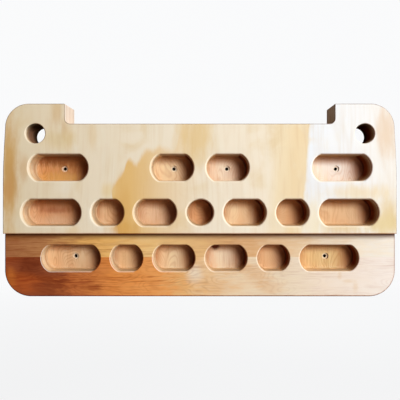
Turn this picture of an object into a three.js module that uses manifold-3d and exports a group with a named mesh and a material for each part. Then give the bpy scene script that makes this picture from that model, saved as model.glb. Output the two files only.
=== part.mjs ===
// A hangboard: a training block for climbers' fingers, milled out of three glued wooden panels.
// Sizes are in millimetres. The block is modelled lying on its back, with X across the board, Y up
// the board and Z from the wall face towards the climber. The last group stands it up, so that the
// exported part has Z up and its wall face at Y = 0, with the origin in the middle of that face.
import * as THREE from 'three';
import { mergeVertices } from 'three/addons/utils/BufferGeometryUtils.js';
import Module from 'manifold-3d';

const wasm = await Module();
wasm.setup();

// The board's outline
const boardWidth = 600;
const boardHeight = 295;
const bottomCornerRadius = 40;
const topCornerRadius = 36;
const shoulderDrop = 97;
const shoulderLean = 5.4;
const shoulderRadius = 900;
const notchWidth = 411;
const notchDepth = 30.5;
const notchCornerRadius = 7.5;
const tabCornerRadius = 1.5;

// The glued panels: each has three layers, which are a face, a core of two strips and a back
const layerThickness = 6;
const layersPerPanel = 3;
const stripJointHeight = 60.5;
const panelNames = ['front_panel', 'middle_panel', 'back_panel'];

// The step that is milled across the lower front
const stepHeight = 97;
const stepDepth = 8;

// The finger pockets: an end is an arc that stands out past the corners by the end bulge
const pocketHeight = 40;
const endBulge = 12.2;
const fourFingerWidth = 90;
const threeFingerWidth = 64;
const twoFingerWidth = 49;
const pocketFloorCove = 3.5;
const mouthBevel = 3;
const lowerMouthBevel = 2.2;

// Where the pockets lie: heights above the bottom edge, and the lands of wood between them
const upperRowHeight = 197.5;
const middleRowHeight = 129;
const lowerRowHeight = 58.8;
const pocketLand = 16.3;
const upperCentreLand = 20.4;
const upperSideLand = 97;

// The through holes in the two tabs
const tabHoleDiameter = 30;
const tabHoleBevel = 1.7;
const tabHoleFromSide = 49.1;
const tabHoleFromTop = 45.5;

// The screw holes in the pocket floors
const screwHoleDiameter = 5.2;
const screwHeadDiameter = 10;
const screwHeadDepth = 3;

// How far a cutter runs past the surface that it cuts
const cutOverrun = 5;

// How finely arcs and drilled holes are divided
const arcDivisions = 3;
const holeSides = 16;
const screwHoleSides = 10;

// What follows from the sizes above
const halfWidth = boardWidth / 2;
const topEdge = boardHeight / 2;
const bottomEdge = -topEdge;
const panelThickness = layersPerPanel * layerThickness;
const boardThickness = panelThickness * panelNames.length;
const recessLevel = boardThickness - stepDepth;
const pocketFloorLevel = panelThickness;

const woods = {
  faceBirch: { color: '#e8d3ae', roughness: 0.55, metalness: 0 },
  upperCore: { color: '#c9925c', roughness: 0.6, metalness: 0 },
  lowerCore: { color: '#9a5a32', roughness: 0.6, metalness: 0 },
  paleBirch: { color: '#dcc09a', roughness: 0.6, metalness: 0 },
};

// Turns a closed geometry into a solid that can be cut.
function solidFrom(geometry) {
  const bare = geometry.clone();
  bare.deleteAttribute('normal');
  bare.deleteAttribute('uv');
  const merged = mergeVertices(bare);
  const vertProperties = merged.attributes.position.array;
  const triVerts = new Uint32Array(merged.index.array);
  return new wasm.Manifold(new wasm.Mesh({ numProp: 3, vertProperties, triVerts }));
}

// Turns a solid back into a geometry with flat facets.
function geometryFrom(solid) {
  const mesh = solid.getMesh();
  const geometry = new THREE.BufferGeometry();
  geometry.setAttribute('position', new THREE.BufferAttribute(mesh.vertProperties, mesh.numProp));
  geometry.setIndex(new THREE.BufferAttribute(mesh.triVerts, 1));
  const faceted = geometry.toNonIndexed();
  faceted.computeVertexNormals();
  return faceted;
}

// A closed outline with rounded corners, each given as [x, y, radius], counterclockwise.
function roundedOutline(corners) {
  const outline = new THREE.Shape();
  corners.forEach(([x, y, radius], index) => {
    const [beforeX, beforeY] = corners.at(index - 1);
    const [afterX, afterY] = corners[(index + 1) % corners.length];
    const corner = new THREE.Vector2(x, y);
    const inward = new THREE.Vector2(x - beforeX, y - beforeY).normalize();
    const onward = new THREE.Vector2(afterX - x, afterY - y).normalize();
    const turn = Math.atan2(inward.cross(onward), inward.dot(onward));
    const side = Math.sign(turn);
    const tangentLength = radius * Math.tan(Math.abs(turn) / 2);
    const start = corner.clone().addScaledVector(inward, -tangentLength);
    const centre = start.clone().add(new THREE.Vector2(-inward.y, inward.x).multiplyScalar(side * radius));
    const startAngle = Math.atan2(start.y - centre.y, start.x - centre.x);
    outline.absarc(centre.x, centre.y, radius, startAngle, startAngle + turn, side < 0);
  });
  outline.closePath();
  return outline;
}

// The outline of the whole block: right half from the bottom up, then its mirror image.
function boardOutline() {
  const notchFloor = topEdge - notchDepth;
  const rightHalf = [
    [halfWidth, bottomEdge, bottomCornerRadius],
    [halfWidth, topEdge - shoulderDrop, shoulderRadius],
    [halfWidth - shoulderLean, topEdge, topCornerRadius],
  ];
  const rightTab = [
    [notchWidth / 2, topEdge, tabCornerRadius],
    [notchWidth / 2, notchFloor, notchCornerRadius],
  ];
  const mirrored = (corners) => corners.map(([x, y, radius]) => [-x, y, radius]).reverse();
  return roundedOutline([...rightHalf, ...rightTab, ...mirrored(rightTab), ...mirrored(rightHalf)]);
}

// A pocket's outline about the origin: flat above and below, with an arc at each end.
function pocketOutline(width, bulge) {
  const halfHeight = pocketHeight / 2;
  const radius = (halfHeight ** 2 + bulge ** 2) / (2 * bulge);
  const arcCentre = width / 2 - radius;
  const halfAngle = Math.atan2(halfHeight, radius - bulge);
  const outline = new THREE.Shape();
  outline.absarc(arcCentre, 0, radius, -halfAngle, halfAngle);
  outline.absarc(-arcCentre, 0, radius, Math.PI - halfAngle, Math.PI + halfAngle);
  outline.closePath();
  return outline;
}

// Cutters for one pocket: the hollow with a coved floor, and the bevel round its mouth.
function pocketCutters({ x, y, width, bulge, mouthLevel, bevel }) {
  const outline = pocketOutline(width, bulge);
  const hollow = new THREE.ExtrudeGeometry(outline, {
    depth: mouthLevel - pocketFloorLevel - pocketFloorCove + cutOverrun,
    curveSegments: arcDivisions,
    bevelThickness: pocketFloorCove,
    bevelSize: pocketFloorCove,
    bevelOffset: -pocketFloorCove,
    bevelSegments: 1,
  });
  hollow.translate(x, y, pocketFloorLevel + pocketFloorCove);
  const mouth = new THREE.ExtrudeGeometry(outline, {
    depth: cutOverrun,
    curveSegments: arcDivisions,
    bevelThickness: bevel,
    bevelSize: bevel,
    bevelSegments: 1,
  });
  mouth.translate(x, y, mouthLevel);
  return [hollow, mouth];
}

// Lays a row's pockets outwards from the middle of the board, each on both sides of it.
// first is the distance from the middle line to the nearest pocket edge.
function pairedPockets(row, first, land, kinds) {
  const pockets = [];
  let edge = first;
  kinds.forEach(({ width, screwed = false }) => {
    const x = edge + width / 2;
    pockets.push({ ...row, x, width, screwed }, { ...row, x: -x, width, screwed });
    edge += width + land;
  });
  return pockets;
}

// All the pockets of the board. The block hangs on screws in the whole upper row and in the
// widest pockets of the lower row.
function allPockets() {
  const inFace = { bulge: endBulge, mouthLevel: boardThickness, bevel: mouthBevel };
  const inRecess = { bulge: endBulge, mouthLevel: recessLevel, bevel: lowerMouthBevel };
  const upper = { ...inFace, y: bottomEdge + upperRowHeight };
  const middle = { ...inFace, y: bottomEdge + middleRowHeight };
  const lower = { ...inRecess, y: bottomEdge + lowerRowHeight };
  const four = { width: fourFingerWidth };
  const three = { width: threeFingerWidth };
  const two = { width: twoFingerWidth };
  const screwedFour = { ...four, screwed: true };
  const screwedThree = { ...three, screwed: true };
  return [
    ...pairedPockets(upper, upperCentreLand / 2, upperSideLand, [screwedThree, screwedFour]),
    { ...middle, x: 0, width: pocketHeight, bulge: pocketHeight / 2, screwed: false },
    ...pairedPockets(middle, pocketHeight / 2 + pocketLand, pocketLand, [three, two, four]),
    ...pairedPockets(lower, pocketLand / 2, pocketLand, [three, two, screwedFour]),
  ];
}

// A round cutter along Z.
function drill(x, y, diameter, fromLevel, toLevel, sides) {
  const cutter = new THREE.CylinderGeometry(diameter / 2, diameter / 2, toLevel - fromLevel, sides);
  cutter.rotateX(Math.PI / 2);
  cutter.translate(x, y, (fromLevel + toLevel) / 2);
  return cutter;
}

// The through hole of one tab, bevelled at the front and at the back.
function tabHoleCutters(x) {
  const y = topEdge - tabHoleFromTop;
  const cone = (level, direction) => {
    const nearRadius = tabHoleDiameter / 2 - cutOverrun;
    const farRadius = tabHoleDiameter / 2 + tabHoleBevel + cutOverrun;
    const length = farRadius - nearRadius;
    const bevel = new THREE.CylinderGeometry(farRadius, nearRadius, length, holeSides);
    bevel.rotateX(direction * Math.PI / 2);
    bevel.translate(x, y, level + direction * (cutOverrun - length / 2));
    return bevel;
  };
  return [
    drill(x, y, tabHoleDiameter, -cutOverrun, boardThickness + cutOverrun, holeSides),
    cone(boardThickness, 1),
    cone(0, -1),
  ];
}

// A screw hole through the floor of a pocket, with the recess for the screw's head.
function screwHoleCutters({ x, y }) {
  const headLevel = pocketFloorLevel - screwHeadDepth;
  return [
    drill(x, y, screwHoleDiameter, -cutOverrun, pocketFloorLevel + cutOverrun, screwHoleSides),
    drill(x, y, screwHeadDiameter, headLevel, pocketFloorLevel + cutOverrun, screwHoleSides),
  ];
}

// The mill's cut across the lower front.
function stepCutter() {
  const reach = bottomEdge - cutOverrun;
  const height = stepHeight + cutOverrun;
  const depth = stepDepth + cutOverrun;
  const cutter = new THREE.BoxGeometry(boardWidth + 2 * cutOverrun, height, depth);
  cutter.translate(0, reach + height / 2, recessLevel + depth / 2);
  return cutter;
}

// A layer's blank: a flat sheet between two heights, sawn to the board's outline.
function layerBlank(lowest, highest, backLevel) {
  const sheet = new THREE.BoxGeometry(boardWidth, highest - lowest, layerThickness);
  sheet.translate(0, (lowest + highest) / 2, backLevel + layerThickness / 2);
  const sawn = new THREE.ExtrudeGeometry(boardOutline(), {
    depth: boardThickness,
    curveSegments: arcDivisions,
    bevelEnabled: false,
  });
  return solidFrom(sheet).intersect(solidFrom(sawn));
}

// Everything that is milled and drilled out of the glued block, joined into one cutter.
function blockCutter() {
  const pockets = allPockets();
  const tabHoleX = halfWidth - tabHoleFromSide;
  const cutters = [
    stepCutter(),
    ...pockets.flatMap(pocketCutters),
    ...pockets.filter(({ screwed }) => screwed).flatMap(screwHoleCutters),
    ...tabHoleCutters(tabHoleX),
    ...tabHoleCutters(-tabHoleX),
  ];
  return cutters.map(solidFrom).reduce((joined, cutter) => joined.add(cutter));
}

const milledAway = blockCutter();

// One layer of a panel, milled and drilled with the rest of the block.
function layer(name, lowest, highest, panelLevel, levelInPanel, wood) {
  const backLevel = panelLevel + levelInPanel;
  const milled = layerBlank(lowest, highest, backLevel).subtract(milledAway);
  const geometry = geometryFrom(milled);
  geometry.translate(0, 0, -backLevel);
  const mesh = new THREE.Mesh(geometry, new THREE.MeshStandardMaterial(wood));
  mesh.name = name;
  mesh.position.z = levelInPanel;
  return mesh;
}

// One panel of crossed layers, with its back at the given level of the block.
function panel(name, level) {
  const stripJoint = bottomEdge + stripJointHeight;
  const coreLevel = layerThickness;
  const faceLevel = panelThickness - layerThickness;
  const faceWood = name === 'front_panel' ? woods.faceBirch : woods.paleBirch;
  const group = new THREE.Group();
  group.add(layer(`${name}_back_layer`, bottomEdge, topEdge, level, 0, woods.paleBirch));
  group.add(layer(`${name}_core_lower_strip`, bottomEdge, stripJoint, level, coreLevel, woods.lowerCore));
  group.add(layer(`${name}_core_upper_strip`, stripJoint, topEdge, level, coreLevel, woods.upperCore));
  group.add(layer(`${name}_face_layer`, bottomEdge, topEdge, level, faceLevel, faceWood));
  group.position.z = level;
  return group;
}

const hangboard = new THREE.Group();
panelNames.forEach((name, index) => {
  const panelsBehind = panelNames.length - 1 - index;
  hangboard.add(panel(name, panelsBehind * panelThickness));
});
hangboard.rotation.x = Math.PI / 2;

export default hangboard;
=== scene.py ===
# %% [markdown]
# # A wooden hangboard, milled out of three glued panels
#
# A hangboard is a block of wood with rows of pockets in it, from which climbers hang by their
# fingers. This one is about 600 mm wide. It is glued from three birch panels of 18 mm, milled as
# a whole, rounded over along every edge that a hand touches, sanded and lightly oiled.
#
# The lesson builds it as a workshop does. First come the sawn outline and the milled hollows,
# then the block, then its twelve layers of wood, each with its own grain, and then the finish.
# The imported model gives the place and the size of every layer, so nothing is fitted by eye.

import math

import bmesh
import bpy
from mathutils import Matrix, Vector


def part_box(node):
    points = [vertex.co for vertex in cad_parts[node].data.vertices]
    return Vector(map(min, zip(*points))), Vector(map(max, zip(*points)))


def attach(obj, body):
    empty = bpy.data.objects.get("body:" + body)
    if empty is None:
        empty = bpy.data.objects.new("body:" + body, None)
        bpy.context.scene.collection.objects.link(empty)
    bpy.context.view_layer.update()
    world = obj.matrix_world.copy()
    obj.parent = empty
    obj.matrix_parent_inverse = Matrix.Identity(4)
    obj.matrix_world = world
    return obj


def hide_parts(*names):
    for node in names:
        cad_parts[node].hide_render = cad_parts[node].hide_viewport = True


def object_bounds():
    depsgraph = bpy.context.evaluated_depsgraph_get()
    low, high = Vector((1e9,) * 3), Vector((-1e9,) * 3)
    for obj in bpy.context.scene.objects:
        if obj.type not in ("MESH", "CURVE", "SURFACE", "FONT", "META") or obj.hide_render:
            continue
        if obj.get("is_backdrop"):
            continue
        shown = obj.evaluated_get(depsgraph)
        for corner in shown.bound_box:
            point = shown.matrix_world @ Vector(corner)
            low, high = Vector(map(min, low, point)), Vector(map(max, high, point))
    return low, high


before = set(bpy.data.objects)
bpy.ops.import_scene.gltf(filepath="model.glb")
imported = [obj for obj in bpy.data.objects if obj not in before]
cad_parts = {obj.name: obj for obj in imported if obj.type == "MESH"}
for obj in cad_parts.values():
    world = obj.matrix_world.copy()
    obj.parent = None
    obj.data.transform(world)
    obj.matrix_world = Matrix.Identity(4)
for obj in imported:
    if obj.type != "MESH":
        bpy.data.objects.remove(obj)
cad_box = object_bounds()
print("layers in the packed model:", sorted(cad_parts))

# %% [markdown]
# ## The camera
#
# The photograph was taken from straight in front, a little to the right of the middle: the left
# tab shows its inner end and the right walls of the left pockets stay hidden. How much smaller
# the pocket floors look than their mouths gives the distance, about 755 mm from the front face.
# The picture was cropped off centre, which a small lens shift repeats, so that the verticals
# stay upright.

# %% The camera
MM = 0.001
PICTURE_SIDE = 400
MM_PER_PIXEL = 1.5217
CAMERA_DISTANCE = 755 * MM
CAMERA_RIGHT = 17 * MM
CAMERA_UP = 5 * MM
BOARD_MIDDLE_PIXEL = (199.8, 200.5)
SENSOR = 36.0

front_level = cad_box[0][1]
picture_width = PICTURE_SIDE * MM_PER_PIXEL * MM
camera_data = bpy.data.cameras.new("photo_camera")
camera_data.sensor_width = SENSOR
camera_data.lens = SENSOR * CAMERA_DISTANCE / picture_width
camera_data.shift_x = 0.5 - BOARD_MIDDLE_PIXEL[0] / PICTURE_SIDE - CAMERA_RIGHT / picture_width
camera_data.shift_y = BOARD_MIDDLE_PIXEL[1] / PICTURE_SIDE - 0.5 - CAMERA_UP / picture_width
camera = bpy.data.objects.new("photo_camera", camera_data)
camera.location = (CAMERA_RIGHT, front_level - CAMERA_DISTANCE, CAMERA_UP)
camera.rotation_euler = (math.radians(90), 0, 0)
bpy.context.scene.collection.objects.link(camera)
bpy.context.scene.camera = camera
print(f"lens {camera_data.lens:.1f} mm, shift {camera_data.shift_x:.4f}, {camera_data.shift_y:.4f}")

# %% [markdown]
# ## Sizes of the milling
#
# These are the tools and the settings of the mill: how deep it goes, how wide its rounding bits
# are and where each pocket lies. The overall sizes and the joint between the strips are read
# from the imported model.

# %% Sizes
BOTTOM_CORNER_RADIUS = 40 * MM
TOP_CORNER_RADIUS = 36 * MM
SHOULDER_DROP = 97 * MM
SHOULDER_LEAN = 5.4 * MM
SHOULDER_RADIUS = 900 * MM
NOTCH_WIDTH = 411 * MM
NOTCH_DEPTH = 30.5 * MM
NOTCH_CORNER_RADIUS = 7.5 * MM
TAB_CORNER_RADIUS = 1.5 * MM
EDGE_ROUND = 1.4 * MM

STEP_HEIGHT = 97 * MM
STEP_DEPTH = 8 * MM

POCKET_HEIGHT = 40 * MM
POCKET_END_RADIUS = 22.5 * MM
POCKET_CORNER_RADIUS = 9 * MM
POCKET_FLOOR_COVE = 4 * MM
MOUTH_ROUND = 3 * MM
LOWER_MOUTH_ROUND = 2.2 * MM
POCKET_LEVEL = 18 * MM

FINGER_WIDTHS = {"four": 90 * MM, "three": 64 * MM, "two": 49 * MM}
ROW_HEIGHTS = {"upper": 197.5 * MM, "middle": 129 * MM, "lower": 58.8 * MM}
POCKET_LAND = 16.3 * MM
UPPER_CENTRE_LAND = 20.4 * MM
UPPER_SIDE_LAND = 97 * MM

TAB_HOLE_DIAMETER = 30 * MM
TAB_HOLE_ROUND = 1.7 * MM
TAB_HOLE_FROM_SIDE = 49.1 * MM
TAB_HOLE_FROM_TOP = 45.5 * MM

SCREW_HOLE_DIAMETER = 5.2 * MM
SCREW_HEAD_DIAMETER = 10 * MM
SCREW_HEAD_DEPTH = 3 * MM
SCREW_HOLE_ROUND = 0.4 * MM
BORE_STOP_LEVEL = 7 * MM
BORE_EXIT_DEPTH = 6 * MM

OVERRUN = 5 * MM
DEGREES_PER_STEP = 5
ROUND_POINTS = 9
WELD = 0.002 * MM

half_width = cad_box[1][0]
top_edge = cad_box[1][2]
bottom_edge = cad_box[0][2]
thickness = -front_level
joint_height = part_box("front_panel_core_lower_strip")[1].z
step_edge = bottom_edge + STEP_HEIGHT
recess_level = thickness - STEP_DEPTH
print(f"board {2 * half_width / MM:.0f} x {thickness / MM:.0f} mm, joint at {joint_height / MM:.1f} mm")

# %% [markdown]
# ## Where the pockets lie
#
# Each row is laid out from the middle of the board outwards: a land of wood, a pocket, a land, a
# pocket. The left half mirrors the right, so the distances on one side are enough.

# %% Where the pockets lie
def row_of_pockets(first, land, widths):
    """Distances from the middle of the board, outwards, for pockets with a land between them."""
    edge, places = first, []
    for width in widths:
        places.append((edge + width / 2, width))
        edge += width + land
    return places


four, three, two = (FINGER_WIDTHS[count] for count in ("four", "three", "two"))
rows = {
    "upper": (thickness, MOUTH_ROUND,
              row_of_pockets(UPPER_CENTRE_LAND / 2, UPPER_SIDE_LAND, [three, four])),
    "middle": (thickness, MOUTH_ROUND,
               row_of_pockets(POCKET_HEIGHT / 2 + POCKET_LAND, POCKET_LAND, [three, two, four])),
    "lower": (recess_level, LOWER_MOUTH_ROUND,
              row_of_pockets(POCKET_LAND / 2, POCKET_LAND, [three, two, four])),
}
for row, (*_, places) in rows.items():
    print(row, "pockets at", [round(reach / MM, 1) for reach, _ in places], "mm from the middle")

# %% [markdown]
# ## Outlines made of arcs
#
# A saw and a router leave straight stretches and arcs, so each outline here is a list of arcs
# with straight lines between them. An arc is written as its centre, its radius and the angles
# where it starts and ends, so the curve stays a true arc however finely it is divided.

# %% Outlines
def arc_points(arcs):
    """Points along arcs given as (centre x, centre y, radius, start angle, end angle)."""
    points = []
    for x, y, radius, start, end in arcs:
        steps = max(2, math.ceil(abs(math.degrees(end - start)) / DEGREES_PER_STEP))
        for step in range(steps + 1):
            angle = start + (end - start) * step / steps
            point = Vector((x + radius * math.cos(angle), y + radius * math.sin(angle)))
            if not points or (point - points[-1]).length > WELD:
                points.append(point)
    if (points[0] - points[-1]).length < WELD:
        points.pop()
    return points


def corner_arcs(corners):
    """The arcs that round a closed outline's corners, each given as (x, y, radius)."""
    arcs = []
    for index, (x, y, radius) in enumerate(corners):
        before = Vector(corners[index - 1][:2])
        after = Vector(corners[(index + 1) % len(corners)][:2])
        corner = Vector((x, y))
        inward = (corner - before).normalized()
        onward = (after - corner).normalized()
        turn = math.atan2(inward.cross(onward), inward.dot(onward))
        side = math.copysign(1, turn)
        start = corner - inward * radius * math.tan(abs(turn) / 2)
        centre = start + Vector((-inward.y, inward.x)) * side * radius
        angle = math.atan2(start.y - centre.y, start.x - centre.x)
        arcs.append((centre.x, centre.y, radius, angle, angle + turn))
    return arcs


def board_outline():
    """The sawn outline of the block: the right half from the bottom up, then its mirror image."""
    notch_floor = top_edge - NOTCH_DEPTH
    right = [
        (half_width, bottom_edge, BOTTOM_CORNER_RADIUS),
        (half_width, top_edge - SHOULDER_DROP, SHOULDER_RADIUS),
        (half_width - SHOULDER_LEAN, top_edge, TOP_CORNER_RADIUS),
        (NOTCH_WIDTH / 2, top_edge, TAB_CORNER_RADIUS),
        (NOTCH_WIDTH / 2, notch_floor, NOTCH_CORNER_RADIUS),
    ]
    left = [(-x, y, radius) for x, y, radius in reversed(right)]
    return arc_points(corner_arcs(right + left))


def pocket_outline(width):
    """A pocket: flat above and below, with an arc at each end and the corners eased."""
    half_height = POCKET_HEIGHT / 2
    arc_centre = width / 2 - POCKET_END_RADIUS
    corner_height = half_height - POCKET_CORNER_RADIUS
    reach = POCKET_END_RADIUS - POCKET_CORNER_RADIUS
    corner_centre = arc_centre + math.sqrt(reach**2 - corner_height**2)
    meet = math.atan2(corner_height, corner_centre - arc_centre)
    right_angle = math.pi / 2
    right = [
        (corner_centre, -corner_height, POCKET_CORNER_RADIUS, -right_angle, -meet),
        (arc_centre, 0, POCKET_END_RADIUS, -meet, meet),
        (corner_centre, corner_height, POCKET_CORNER_RADIUS, meet, right_angle),
    ]
    left = [(-x, -y, radius, start + math.pi, end + math.pi) for x, y, radius, start, end in right]
    return arc_points(right + left)


def circle_outline(diameter):
    """A round hole."""
    return arc_points([(0, 0, diameter / 2, 0, 2 * math.pi)])


print("board outline:", len(board_outline()), "points, four-finger pocket:",
      len(pocket_outline(FINGER_WIDTHS["four"])), "points")

# %% [markdown]
# ## A short way to add nodes
#
# Shapes and finishes are both built from nodes here. One small helper adds a node, sets it up and
# links it, so that a tree reads from top to bottom like a recipe. The kinds of node and the settings
# that come back often have names of their own.

# %% A helper that adds a node
MATH, VECTOR = "ShaderNodeMath", "ShaderNodeVectorMath"
RANGE, MIX, NOISE = "ShaderNodeMapRange", "ShaderNodeMix", "ShaderNodeTexNoise"
SPLIT, JOIN, MOVE = "ShaderNodeSeparateXYZ", "ShaderNodeCombineXYZ", "GeometryNodeTransform"
TIMES = {"operation": "MULTIPLY"}
TIMES_PLUS = {"operation": "MULTIPLY_ADD"}
PLUS = {"operation": "ADD"}
MINUS = {"operation": "SUBTRACT"}
POSITIVE = {"operation": "ABSOLUTE"}
SEEDED = {"noise_dimensions": "4D"}
HIGHER = {"operation": "MAXIMUM"}
LOWER = {"operation": "MINIMUM"}
BELOW = {"operation": "LESS_THAN"}
DISTANCE = {"operation": "DISTANCE"}
ZIGZAG = {"operation": "PINGPONG"}
LENGTH = {"operation": "LENGTH"}
SCALED = {"operation": "SCALE"}
SOFT = {"interpolation_type": "SMOOTHSTEP"}
TINT = {"data_type": "RGBA"}
STAIN = {"data_type": "RGBA", "blend_type": "MULTIPLY"}


def add(tree, kind, settings=None, **links):
    """Adds a node. settings holds its properties. links feeds its inputs, by name or by number,
    from a node's first output, a socket, a plain value, or a list where an input takes many."""
    node = tree.nodes.new(kind)
    for name, value in (settings or {}).items():
        setattr(node, name, value)
    named = {socket.name: socket for socket in list(node.inputs)[::-1] if socket.enabled}
    for name, value in links.items():
        socket = node.inputs[int(name[1:])] if name[0] == "_" else named[name.replace("_", " ")]
        for source in value if isinstance(value, list) else [value]:
            if isinstance(source, bpy.types.Node):
                source = next(output for output in source.outputs if output.enabled)
            if isinstance(source, bpy.types.NodeSocket):
                tree.links.new(source, socket)
            else:
                socket.default_value = source
    return node


def empty_tree(owner):
    """Turns on the nodes of a material or a world, and clears those that come with it."""
    owner.use_nodes = True
    owner.node_tree.nodes.clear()
    return owner.node_tree


print("a node that halves a mask is added by add(tree, MATH, TIMES, _0=mask, _1=0.5)")

# %% [markdown]
# ## Colours
#
# A colour is chosen as an sRGB hex code, as on a paint chart, but shaders calculate with linear
# light. One function turns the one into the other, for every colour of this scene.

# %% From hex codes to linear light
def colour(hex_code):
    """The linear colour of an sRGB hex code such as #E5AC64."""
    shares = [int(hex_code[start:start + 2], 16) / 255 for start in (1, 3, 5)]
    return (*(share / 12.92 if share <= 0.04045 else ((share + 0.055) / 1.055) ** 2.4
              for share in shares), 1.0)


print("mid grey in linear light:", round(colour("#808080")[0], 3))

# %% [markdown]
# ## Wood grain
#
# Birch plywood is made of peeled veneers: a blade unrolls the log, so the face shows long streaks
# of fibre and, where the blade runs along a year ring, wandering lines and flames. Crossed layers
# turn the fibre by 90 degrees. All of it is worked out from Object coordinates in millimetres, so
# the grain lies still in the wood. First the fibre: coordinates that run along it and wander a
# little, and noise that is drawn out along it.

# %% Fibre
UPRIGHT, LEVEL = "Z", "X"
BEND_MM = 130


def grain_of(tree, point, fibre, wander, seed):
    """Turns the coordinates so that X runs along the fibre, and lets the fibre wander sideways."""
    part = add(tree, SPLIT, _0=point)
    sideways = LEVEL if fibre == UPRIGHT else UPRIGHT
    bend = add(tree, NOISE, SEEDED, Vector=point, W=seed, Scale=1 / BEND_MM, Detail=1.0)
    across = add(tree, MATH, TIMES_PLUS, _0=bend, _1=wander, _2=part.outputs[sideways])
    return add(tree, JOIN, X=part.outputs[fibre], Y=across, Z=part.outputs["Y"])


def fibre_noise(tree, grain, size, detail, seed):
    """Noise drawn out along the fibre. size is its length, width and depth."""
    drawn = add(tree, VECTOR, TIMES, _0=grain, _1=tuple(1 / side for side in size))
    return add(tree, NOISE, SEEDED, Vector=drawn, W=seed, Scale=1.0, Detail=detail, Roughness=0.6)


print("upright fibre runs along", UPRIGHT, "and level fibre along", LEVEL)

# %% [markdown]
# The figure is what a joiner calls the drawing of the wood. Fine dark streaks follow the fibre, and
# come and go in patches. Year rings are the contour lines of a slowly changing field, so they bend
# and close like the lines on a map.

# %% Figure
PATCH_MM = (150.0, 26.0, 20.0)


def figure(tree, grain, shade, line, streaks, rings, strength, seed):
    """Draws streaks and year rings into a shade. streaks are their length, width and amount. rings
    are the length and width of the flames, how many rings cross them, and the amount."""
    fine = fibre_noise(tree, grain, (streaks[0], streaks[1], 1.8), 3.0, seed + 47)
    patches = fibre_noise(tree, grain, PATCH_MM, 1.0, seed + 59)
    patches = add(tree, RANGE, SOFT, Value=patches, From_Min=0.35, From_Max=0.62)
    amount = add(tree, RANGE, SOFT, Value=fine, From_Min=0.42, From_Max=0.74, To_Max=streaks[2])
    amount = add(tree, MATH, TIMES, _0=amount, _1=patches)
    amount = add(tree, MATH, TIMES, _0=amount, _1=strength)
    shade = add(tree, MIX, STAIN, Factor=amount, A=shade, B=line)
    field = fibre_noise(tree, grain, (rings[0], rings[1], 14.0), 1.0, seed + 29)
    field = add(tree, MATH, TIMES, _0=field, _1=rings[2])
    ring = add(tree, MATH, ZIGZAG, _0=field, _1=0.5)
    ring = add(tree, RANGE, SOFT, Value=ring, From_Min=0.2, From_Max=0.5, To_Max=rings[3])
    shown = fibre_noise(tree, grain, (rings[0], rings[1] * 2, 20.0), 1.0, seed + 31)
    shown = add(tree, RANGE, SOFT, Value=shown, From_Min=0.35, From_Max=0.6)
    amount = add(tree, MATH, TIMES, _0=ring, _1=shown)
    amount = add(tree, MATH, TIMES, _0=amount, _1=strength)
    return add(tree, MIX, STAIN, Factor=amount, A=shade, B=line), fine


print("streaks come in patches about", PATCH_MM[0], "mm long and", PATCH_MM[1], "mm wide")

# %% [markdown]
# Spots are places where the wood has a colour of its own: heartwood, a mineral streak, a knot. Each
# is an oval with an edge that the grain makes uneven. A knot also goes into the depth.

# %% Spots and knots
def spot(tree, point, rough, shade, centre, reach, spot_shade, amount):
    """Tints an oval around a place, with an uneven edge."""
    offset = add(tree, VECTOR, MINUS, _0=point, _1=(centre[0], 0.0, centre[1]))
    scaled = add(tree, VECTOR, TIMES, _0=offset, _1=(1 / reach[0], 0.0, 1 / reach[1]))
    length = add(tree, VECTOR, LENGTH, _0=scaled)
    uneven = add(tree, MATH, TIMES_PLUS, _0=rough, _1=1.8, _2=length)
    mask = add(tree, RANGE, SOFT, Value=uneven, From_Min=2.5, From_Max=1.1, To_Max=amount)
    return add(tree, MIX, TINT, Factor=mask, A=shade, B=colour(spot_shade))


def knot(tree, point, rough, shade, centre, radius):
    """Darkens a ball in the depth of the wood, with an uneven edge."""
    gap = add(tree, VECTOR, DISTANCE, _0=point, _1=centre)
    size = add(tree, MATH, TIMES_PLUS, _0=rough, _1=radius, _2=gap)
    mask = add(tree, RANGE, SOFT, Value=size, From_Min=radius * 2.1, From_Max=radius * 1.2)
    return add(tree, MIX, STAIN, Factor=mask, A=shade, B=DARK_WOOD_AND_SHADE)


# One dark brown serves the knots and the glue lines, and also the painted shade on walls that face away
# from the light.
DARK_WOOD_AND_SHADE = colour("#783F24")
print("scorched wood keeps", [round(channel, 2) for channel in DARK_WOOD_AND_SHADE[:3]], "of the light")

# %% [markdown]
# ## Edges, the marks of the mill, and painted light and shade
#
# At an edge the layers show their ends. End grain drinks more oil and looks darker, and the glue
# between two layers is a brown line. The real line is a tenth of a millimetre thin. Here it is
# drawn about a millimetre wide, which is as coarse as it has to be to show.

# %% The edges of the layers
LAYER_MM = 6.0
GLUE_LINE_MM = 0.5


def edge_of(tree, grain, facing, fibre, shades, seed):
    """The colour of an edge: between long grain and end grain, with fibres and glue lines."""
    long_edge, end_edge, line = shades
    endwise = add(tree, MATH, POSITIVE, _0=facing.outputs[fibre])
    amount = add(tree, RANGE, SOFT, Value=endwise, From_Min=0.15, From_Max=0.95)
    shade = add(tree, MIX, TINT, Factor=amount, A=long_edge, B=end_edge)
    fibres = fibre_noise(tree, grain, (90.0, 12.0, 1.1), 2.0, seed + 71)
    amount = add(tree, RANGE, SOFT, Value=fibres, From_Min=0.45, From_Max=0.7, To_Max=0.3)
    shade = add(tree, MIX, STAIN, Factor=amount, A=shade, B=line)
    depth = add(tree, SPLIT, _0=grain)
    glue = add(tree, MATH, ZIGZAG, _0=depth.outputs["Z"], _1=LAYER_MM / 2)
    amount = add(tree, RANGE, SOFT, Value=glue, From_Min=GLUE_LINE_MM, From_Max=0.0, To_Max=0.32)
    return add(tree, MIX, STAIN, Factor=amount, A=shade, B=DARK_WOOD_AND_SHADE)


print("layers of", LAYER_MM, "mm, with glue lines", 2 * GLUE_LINE_MM, "mm wide between them")
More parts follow.
